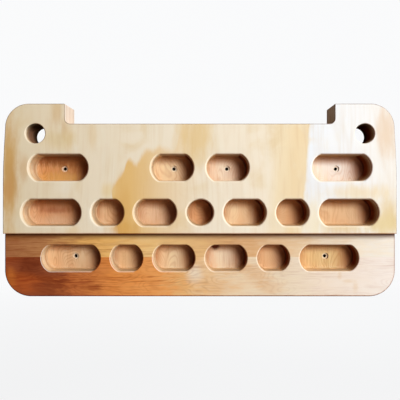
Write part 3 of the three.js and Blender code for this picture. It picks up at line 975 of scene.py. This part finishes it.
# %% The tree for a milled form
def milled_form_tree():
    """Sweeps a profile with two rounds along the outline that it is put on, and lays it out."""
    tree, given, result = shape_tree("milled_form", {
        "Outline": "Geometry", **dict.fromkeys(FORM_SIZES, "Float"), "Copies": "Int",
        "Wood": "Material"})
    depth, back, front = given["Depth"], given["Back Round"], given["Front Round"]
    back_height = add(tree, MATH, POSITIVE, _0=back)
    front_height = add(tree, MATH, POSITIVE, _0=front)
    back_down = add(tree, MATH, TIMES, _0=back_height, _1=-1.0)
    depth_down = add(tree, MATH, TIMES, _0=depth, _1=-1.0)
    wall_end = add(tree, MATH, PLUS, _0=depth_down, _1=front_height)
    reach_end = add(tree, MATH, MINUS, _0=depth_down, _1=given["Front Overrun"])

    def quarter_round(start, across, along, level):
        """A quarter of a circle beside the wall line, as wide and as high as the round."""
        arc = add(tree, "GeometryNodeCurveArc", {"mode": "RADIUS"}, Resolution=ROUND_POINTS,
                  Radius=1.0, Start_Angle=start, Sweep_Angle=math.pi / 2)
        centre = add(tree, JOIN, X=across, Y=level)
        size = add(tree, JOIN, X=across, Y=along, Z=1.0)
        return add(tree, MOVE, Geometry=arc, Translation=centre, Scale=size)

    def straight(across, start, end):
        """A straight stretch of the profile at one distance from the outline."""
        first = add(tree, JOIN, X=across, Y=start)
        last = add(tree, JOIN, X=across, Y=end)
        return add(tree, "GeometryNodeCurvePrimitiveLine", Start=first, End=last)

    profile = add(tree, "GeometryNodeJoinGeometry", _0=[
        straight(back, given["Back Overrun"], 0.0),
        quarter_round(math.pi / 2, back, back_height, back_down),
        straight(0.0, back_down, wall_end),
        quarter_round(math.pi, front, front_height, wall_end),
        straight(front, depth_down, reach_end),
    ])
    path = add(tree, "GeometryNodeSetCurveNormal", {"mode": "Z_UP"}, Curve=given["Outline"])
    skin = add(tree, "GeometryNodeCurveToMesh", Curve=path, Profile_Curve=profile)
    normal = add(tree, "GeometryNodeInputNormal")

    def end_face(grown_by, level):
        """The outline, grown or shrunk, filled and put at a level."""
        shift = add(tree, VECTOR, SCALED, Vector=normal, Scale=grown_by)
        grown = add(tree, "GeometryNodeSetPosition", Geometry=path, Offset=shift)
        filled = add(tree, "GeometryNodeFillCurve", {"mode": "NGONS"}, Curve=grown)
        place = add(tree, JOIN, Z=level)
        return add(tree, MOVE, Geometry=filled, Translation=place)

    back_end = add(tree, MATH, TIMES, _0=given["Back Overrun"], _1=-1.0)
    front_end = add(tree, MATH, PLUS, _0=depth, _1=given["Front Overrun"])
    closed = add(tree, "GeometryNodeJoinGeometry",
                 _0=[skin, end_face(back, back_end), end_face(front, front_end)])
    welded = add(tree, "GeometryNodeMergeByDistance", Geometry=closed, Distance=WELD)
    upright = add(tree, MOVE, Geometry=welded, Rotation=(math.pi / 2, 0.0, 0.0))
    reach_left = add(tree, MATH, TIMES, _0=given["Reach"], _1=-1.0)
    level_back = add(tree, MATH, TIMES, _0=given["Level"], _1=-1.0)
    reach_twice = add(tree, MATH, TIMES, _0=given["Reach"], _1=2.0)
    start = add(tree, JOIN, X=reach_left, Y=level_back, Z=given["Height"])
    apart = add(tree, JOIN, X=reach_twice)
    places = add(tree, "GeometryNodeMeshLine", Count=given["Copies"], Start_Location=start,
                 Offset=apart)
    copies = add(tree, "GeometryNodeInstanceOnPoints", Points=places, Instance=upright)
    real = add(tree, "GeometryNodeRealizeInstances", Geometry=copies)
    finished = add(tree, "GeometryNodeSetMaterial", Geometry=real, Material=given["Wood"])
    tree.links.new(finished.outputs[0], result)
    return tree


form_tree = milled_form_tree()
print("the tree has", len(form_tree.nodes), "nodes")

# %% [markdown]
# The outline becomes a closed curve, the sizes go into the tree's inputs by their identifiers, and
# what comes out is kept as a plain mesh, with its normals pointing outwards.

# %% Making a form from an outline and its sizes
def new_object(name, mesh):
    """A mesh object at the origin."""
    made = bpy.data.objects.new(name, mesh)
    bpy.context.scene.collection.objects.link(made)
    return made


def baked(source):
    """The mesh that an object's modifiers make."""
    bpy.context.view_layer.update()
    return bpy.data.meshes.new_from_object(source.evaluated_get(bpy.context.evaluated_depsgraph_get()))


def put_tree_on(source, tree, inputs):
    """Adds a Geometry Nodes modifier and sets its inputs by their identifiers."""
    modifier = source.modifiers.new(tree.name, "NODES")
    modifier.node_group = tree
    for socket in tree.interface.items_tree:
        if socket.in_out == "INPUT" and socket.name in inputs:
            modifier[socket.identifier] = inputs[socket.name]
    return modifier


def milled_form(name, outline, wood, copies=1, **sizes):
    """A closed form from an outline, as a mesh object. The sizes are the tree's inputs."""
    curve = bpy.data.curves.new(name, "CURVE")
    curve.dimensions = "3D"
    spline = curve.splines.new("POLY")
    spline.points.add(len(outline) - 1)
    for point, (x, y) in zip(spline.points, outline):
        point.co = (x, y, 0, 1)
    spline.use_cyclic_u = True
    source = new_object(name + "_outline", curve)
    inputs = {key.replace("_", " ").title(): value for key, value in sizes.items()}
    put_tree_on(source, form_tree, {**inputs, "Copies": copies, "Wood": wood})
    mesh = baked(source)
    bpy.data.objects.remove(source)
    work = bmesh.new()
    work.from_mesh(mesh)
    bmesh.ops.recalc_face_normals(work, faces=work.faces)
    work.to_mesh(mesh)
    work.free()
    return new_object(name, mesh)


print("arcs are divided into steps of at most", DEGREES_PER_STEP, "degrees")

# %% [markdown]
# ## The block
#
# The blank is sawn to its outline and its edges are rounded over. The recessed lower face has a
# rounded edge of its own, because the rounding bit ran along it after the step was milled. So the
# block is the full blank above the step, joined to a blank that is 8 mm thinner. Then each pocket,
# tab hole and screw hole is taken out of it with a Boolean, as the bit takes it out of the wood.

# %% Carving
def carve(block, tool, operation="DIFFERENCE"):
    """Cuts a tool out of the block, or joins it to the block, and puts the tool away."""
    modifier = block.modifiers.new("carve", "BOOLEAN")
    modifier.operation = operation
    modifier.solver = "MANIFOLD"
    modifier.object = tool
    mesh = baked(block)
    block.modifiers.clear()
    block.data = mesh
    bpy.data.objects.remove(tool)


def box_form(name, lowest, highest):
    """A plain box between two corners."""
    work = bmesh.new()
    size = Vector(highest) - Vector(lowest)
    middle = (Vector(highest) + Vector(lowest)) / 2
    bmesh.ops.create_cube(work, size=1, matrix=Matrix.Translation(middle) @ Matrix.Diagonal((*size, 1)))
    mesh = bpy.data.meshes.new(name)
    work.to_mesh(mesh)
    work.free()
    return new_object(name, mesh)


print("tools run", OVERRUN / MM, "mm past the wood, so that no skin is left")

# %% [markdown]
# The blank comes first. The step takes away the lower front of it with all its rounds, and the
# thinner blank that is joined to it brings the rounds back at the recessed level.

# %% The blank with its step
block = milled_form("block", board_outline(), birch_crossband, depth=thickness,
                    back_round=-EDGE_ROUND, front_round=-EDGE_ROUND)
step_tool = box_form("step_tool", (-half_width - OVERRUN, -thickness - OVERRUN, bottom_edge - OVERRUN),
                     (half_width + OVERRUN, -recess_level / 2, step_edge))
carve(block, step_tool)
thin_blank = milled_form("thin_blank", board_outline(), birch_crossband, depth=recess_level,
                         back_round=-EDGE_ROUND, front_round=-EDGE_ROUND)
carve(block, thin_blank, "UNION")
print("blank:", len(block.data.polygons), "faces")

# %% [markdown]
# The pockets of one kind are cut as a pair. A pocket's floor lies two panels deep, and a small cove
# leads into it all round, so that no finger meets a sharp corner.

# %% The pockets
for row, (mouth_level, mouth_round, places) in rows.items():
    height = bottom_edge + ROW_HEIGHTS[row]
    settings = {"level": POCKET_LEVEL, "depth": mouth_level - POCKET_LEVEL, "height": height,
                "back_round": -POCKET_FLOOR_COVE, "front_round": mouth_round, "front_overrun": OVERRUN}
    for reach, width in places:
        carve(block, milled_form("pocket_tool", pocket_outline(width), birch_crossband, copies=2,
                                 reach=reach, **settings))
    if row == "middle":
        round_pocket = circle_outline(POCKET_HEIGHT)
        carve(block, milled_form("pocket_tool", round_pocket, birch_crossband, **settings))
print("with pockets:", len(block.data.polygons), "faces")

# %% [markdown]
# The tab holes go right through and are rounded at both ends. Each screw hole has a flat recess for
# the screw's head. The photograph shows the bores dark, as they are against a wall, so a web of one
# millimetre is left inside each of them, out of sight.

# %% The tab holes and the screw holes
carve(block, milled_form("tab_hole_tool", circle_outline(TAB_HOLE_DIAMETER), birch_crossband, copies=2,
                         depth=thickness, back_round=TAB_HOLE_ROUND, front_round=TAB_HOLE_ROUND,
                         back_overrun=OVERRUN, front_overrun=OVERRUN,
                         reach=half_width - TAB_HOLE_FROM_SIDE, height=top_edge - TAB_HOLE_FROM_TOP))
screwed = [("upper", place) for place in rows["upper"][2]] + [("lower", rows["lower"][2][-1])]
for row, (reach, _) in screwed:
    where = {"copies": 2, "reach": reach, "height": bottom_edge + ROW_HEIGHTS[row],
             "front_overrun": OVERRUN}
    carve(block, milled_form("bore_tool", circle_outline(SCREW_HOLE_DIAMETER), birch_crossband,
                             level=BORE_STOP_LEVEL, depth=POCKET_LEVEL - BORE_STOP_LEVEL, **where))
    carve(block, milled_form("exit_tool", circle_outline(SCREW_HOLE_DIAMETER), birch_crossband,
                             depth=BORE_EXIT_DEPTH, back_round=SCREW_HOLE_ROUND, back_overrun=OVERRUN,
                             **{**where, "front_overrun": 0.0}))
    carve(block, milled_form("head_tool", circle_outline(SCREW_HEAD_DIAMETER), birch_crossband,
                             level=POCKET_LEVEL - SCREW_HEAD_DEPTH, depth=SCREW_HEAD_DEPTH,
                             front_round=SCREW_HOLE_ROUND, **where))
print("milled block:", len(block.data.polygons), "faces")

# %% [markdown]
# ## The layers
#
# Each of the three panels has a face layer, a core of two strips and a back layer. The packed
# model says where each one begins and ends, so the milled block is sawn into them: a second tree
# cuts a slab out of the block, and gives it its wood. Real layers are glued, of course, and never
# sawn apart, but in this order every pocket wall runs on smoothly from one layer to the next.

# %% The tree for a layer
def layer_tree():
    """Keeps what lies in a slab of the block, and sets its wood."""
    tree, given, result = shape_tree("wood_layer", {
        "Block": "Geometry", "Slab Size": "Vector", "Slab Middle": "Vector", "Wood": "Material"})
    cube = add(tree, "GeometryNodeMeshCube", Size=given["Slab Size"])
    slab = add(tree, MOVE, Geometry=cube.outputs[0], Translation=given["Slab Middle"])
    both = add(tree, "GeometryNodeMeshBoolean", {"operation": "INTERSECT", "solver": "MANIFOLD"})
    tree.links.new(given["Block"], both.inputs["Mesh"])
    tree.links.new(slab.outputs[0], both.inputs["Mesh"])
    real = add(tree, "GeometryNodeRealizeInstances", Geometry=both.outputs[0])
    finished = add(tree, "GeometryNodeSetMaterial", Geometry=real.outputs[0], Material=given["Wood"])
    tree.links.new(finished.outputs[0], result)
    return tree


layer_saw = layer_tree()
print("the saw's tree has", len(layer_saw.nodes), "nodes")

# %% [markdown]
# A sawn layer keeps the block's smooth rounds: every corner of a round takes the mean direction of
# the faces beside it, and where a round runs into a flat, the flat's own.

# %% Sawing the block into its layers
SMOOTH_ANGLE = math.radians(35)
LEVEL_NORMAL = 0.9999


def slab_of(node):
    """The slab that a layer fills, run out past the outside of the block."""
    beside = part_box(node.replace("lower_strip", "upper_strip"))
    lowest = Vector((-half_width, beside[0].y, bottom_edge)) - Vector((OVERRUN, 0, OVERRUN))
    highest = Vector((half_width, beside[1].y, top_edge)) + Vector((OVERRUN, 0, OVERRUN))
    if lowest.y < WELD - thickness:
        lowest.y -= OVERRUN
    if highest.y > -WELD:
        highest.y += OVERRUN
    if node.endswith("upper_strip"):
        lowest.z = joint_height
    if node.endswith("lower_strip"):
        highest.z = joint_height
    return lowest, highest


def set_normals(mesh):
    """Shades rounds smoothly and flats flat, so that a round runs into a flat without a ripple."""
    work = bmesh.new()
    work.from_mesh(mesh)
    normals = []
    for face in work.faces:
        for corner in face.loops:
            beside = [other for other in corner.vert.link_faces
                      if other.normal.angle(face.normal, 0) < SMOOTH_ANGLE]
            level = [other for other in beside if abs(other.normal.y) > LEVEL_NORMAL]
            if level:
                normals.append(level[0].normal.copy())
            else:
                mean = sum((other.normal * other.calc_area() for other in beside), Vector())
                normals.append(mean.normalized())
    work.free()
    mesh.shade_smooth()
    mesh.normals_split_custom_set(normals)


def saw_layer(node, wood):
    """One layer of the block, as a piece of its own."""
    lowest, highest = slab_of(node)
    put_tree_on(block, layer_saw, {"Slab Size": highest - lowest, "Slab Middle": (lowest + highest) / 2,
                                   "Wood": wood})
    mesh = baked(block)
    block.modifiers.clear()
    set_normals(mesh)
    return new_object(node + "_wood", mesh)


pieces = {node: saw_layer(node, woods[node]) for node in sorted(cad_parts)}
bpy.data.objects.remove(block)
for node, piece in pieces.items():
    print(node, len(piece.data.polygons), "faces")

# %% [markdown]
# ## Riding on the model
#
# Nothing moves on a hangboard, so every layer rides on the one body of the imported model, and the
# imported part that it was sawn to is hidden.

# %% Riding on the model, and hiding the imported parts
for node, piece in pieces.items():
    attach(piece, "root")
    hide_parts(node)
print(len(pieces), "layers ride on the model")

# %% [markdown]
# ## Floor, sky and lamps
#
# The board hangs in front of plain white in the photograph, with nothing under it. Here the floor
# lies well below it, as below a board on a wall. What the camera sees of floor and sky is white,
# while the light that they give to the wood stays low: that keeps the right walls of the pockets
# as dark as they are. One wide soft lamp from the upper right does the lighting. Its shadows in
# the pockets, about 18 degrees wide on the right and 30 on the left, give its place.

# %% The sky
BACKGROUND = (0.955, 0.960, 0.968, 1)
FILL_COLOUR = (1.0, 0.62, 0.38, 1)
FILL_LIGHT = 0.075


def seen_directly(tree):
    """A mask for rays from the camera, straight or by way of a mirror or a lens."""
    path = add(tree, "ShaderNodeLightPath").outputs
    seen = add(tree, MATH, HIGHER, _0=path["Is Camera Ray"], _1=path["Is Glossy Ray"])
    return add(tree, MATH, HIGHER, _0=seen, _1=path["Is Transmission Ray"])


world = bpy.data.worlds.new("studio_sky")
bpy.context.scene.world = world
sky = empty_tree(world)
sky_fill = add(sky, "ShaderNodeBackground", Color=FILL_COLOUR, Strength=FILL_LIGHT)
sky_white = add(sky, "ShaderNodeBackground", Color=BACKGROUND, Strength=1.0)
sky_mix = add(sky, "ShaderNodeMixShader", _0=seen_directly(sky), _1=sky_fill, _2=sky_white)
add(sky, "ShaderNodeOutputWorld", Surface=sky_mix)
print("fill light", FILL_LIGHT)

# %% [markdown]
# The floor is matt and mid grey to the lamps, so it gives little light back, while the camera sees it
# as near white. Close to the board it stays a shade darker than the sky, and further off it passes
# into it.

# %% The floor
FLOOR_LEVEL = -0.6
FLOOR_HALF = 6.0
FLOOR_SHADE = 0.4
FLOOR_WHITE = 0.9
FLOOR_NEAR, FLOOR_FAR = 1.2, 3.0
floor_mesh = bpy.data.meshes.new("floor")
floor_mesh.from_pydata([(x * FLOOR_HALF, y * FLOOR_HALF, FLOOR_LEVEL)
                        for x, y in ((-1, -1), (1, -1), (1, 1), (-1, 1))], [], [(0, 1, 2, 3)])
floor = new_object("floor", floor_mesh)
floor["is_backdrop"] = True
floor_paint = bpy.data.materials.new("matt_white_floor")
paint = empty_tree(floor_paint)
floor_place = add(paint, "ShaderNodeTexCoord")
floor_far = add(paint, VECTOR, LENGTH, _0=floor_place.outputs["Object"])
floor_white = add(paint, RANGE, Value=floor_far.outputs["Value"],
                  From_Min=FLOOR_NEAR, From_Max=FLOOR_FAR, To_Min=FLOOR_WHITE, To_Max=1.0)
floor_share = add(paint, MATH, TIMES, _0=seen_directly(paint), _1=floor_white)
floor_matt = add(paint, "ShaderNodeBsdfDiffuse", Color=(FLOOR_SHADE, FLOOR_SHADE, FLOOR_SHADE, 1))
floor_glow = add(paint, "ShaderNodeEmission", Color=BACKGROUND, Strength=1.0)
floor_mix = add(paint, "ShaderNodeMixShader", _0=floor_share, _1=floor_matt, _2=floor_glow)
add(paint, "ShaderNodeOutputMaterial", Surface=floor_mix)
floor_mesh.materials.append(floor_paint)
print("the floor lies", -FLOOR_LEVEL, "m below the middle of the board")

# %% [markdown]
# The main lamp stands to the right of the camera. A smaller one further right lights the walls that
# look right, and one behind the board is there for whoever walks round it. None of them clips the
# pale sapwood to white. Each is given by its place and its width in metres, and its power in watts.

# %% The lamps
def soft_lamp(name, place, size, watts):
    """A round area lamp that looks at the middle of the board's face."""
    data = bpy.data.lights.new(name, "AREA")
    data.shape = "DISK"
    data.size = size
    data.energy = watts
    lamp = bpy.data.objects.new(name, data)
    lamp.location = place
    aim = Vector((0, front_level, 0)) - lamp.location
    lamp.rotation_euler = aim.to_track_quat("-Z", "Y").to_euler()
    bpy.context.scene.collection.objects.link(lamp)
    return lamp


LAMPS = {
    "main_lamp": ((0.82, -1.75, 0.5), 0.75, 29),
    "side_lamp": ((2.2, -0.65, 0.9), 0.6, 28),
    "back_lamp": ((0.5, 2.2, 0.7), 1.0, 40),
}
for name, (place, size, watts) in LAMPS.items():
    lamp = soft_lamp(name, place, size, watts)
    print(lamp.name, watts, "W,", size, "m wide")
bpy.context.scene.view_settings.view_transform = "Standard"

# %% [markdown]
# ## Sizes and the end
#
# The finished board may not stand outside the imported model's box, so both boxes are written down.

# %% Sizes and the end
seen_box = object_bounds()
for name, box in (("packed", cad_box), ("seen", seen_box)):
    print(name, "box in mm:", [[round(side / MM, 2) for side in corner] for corner in box])
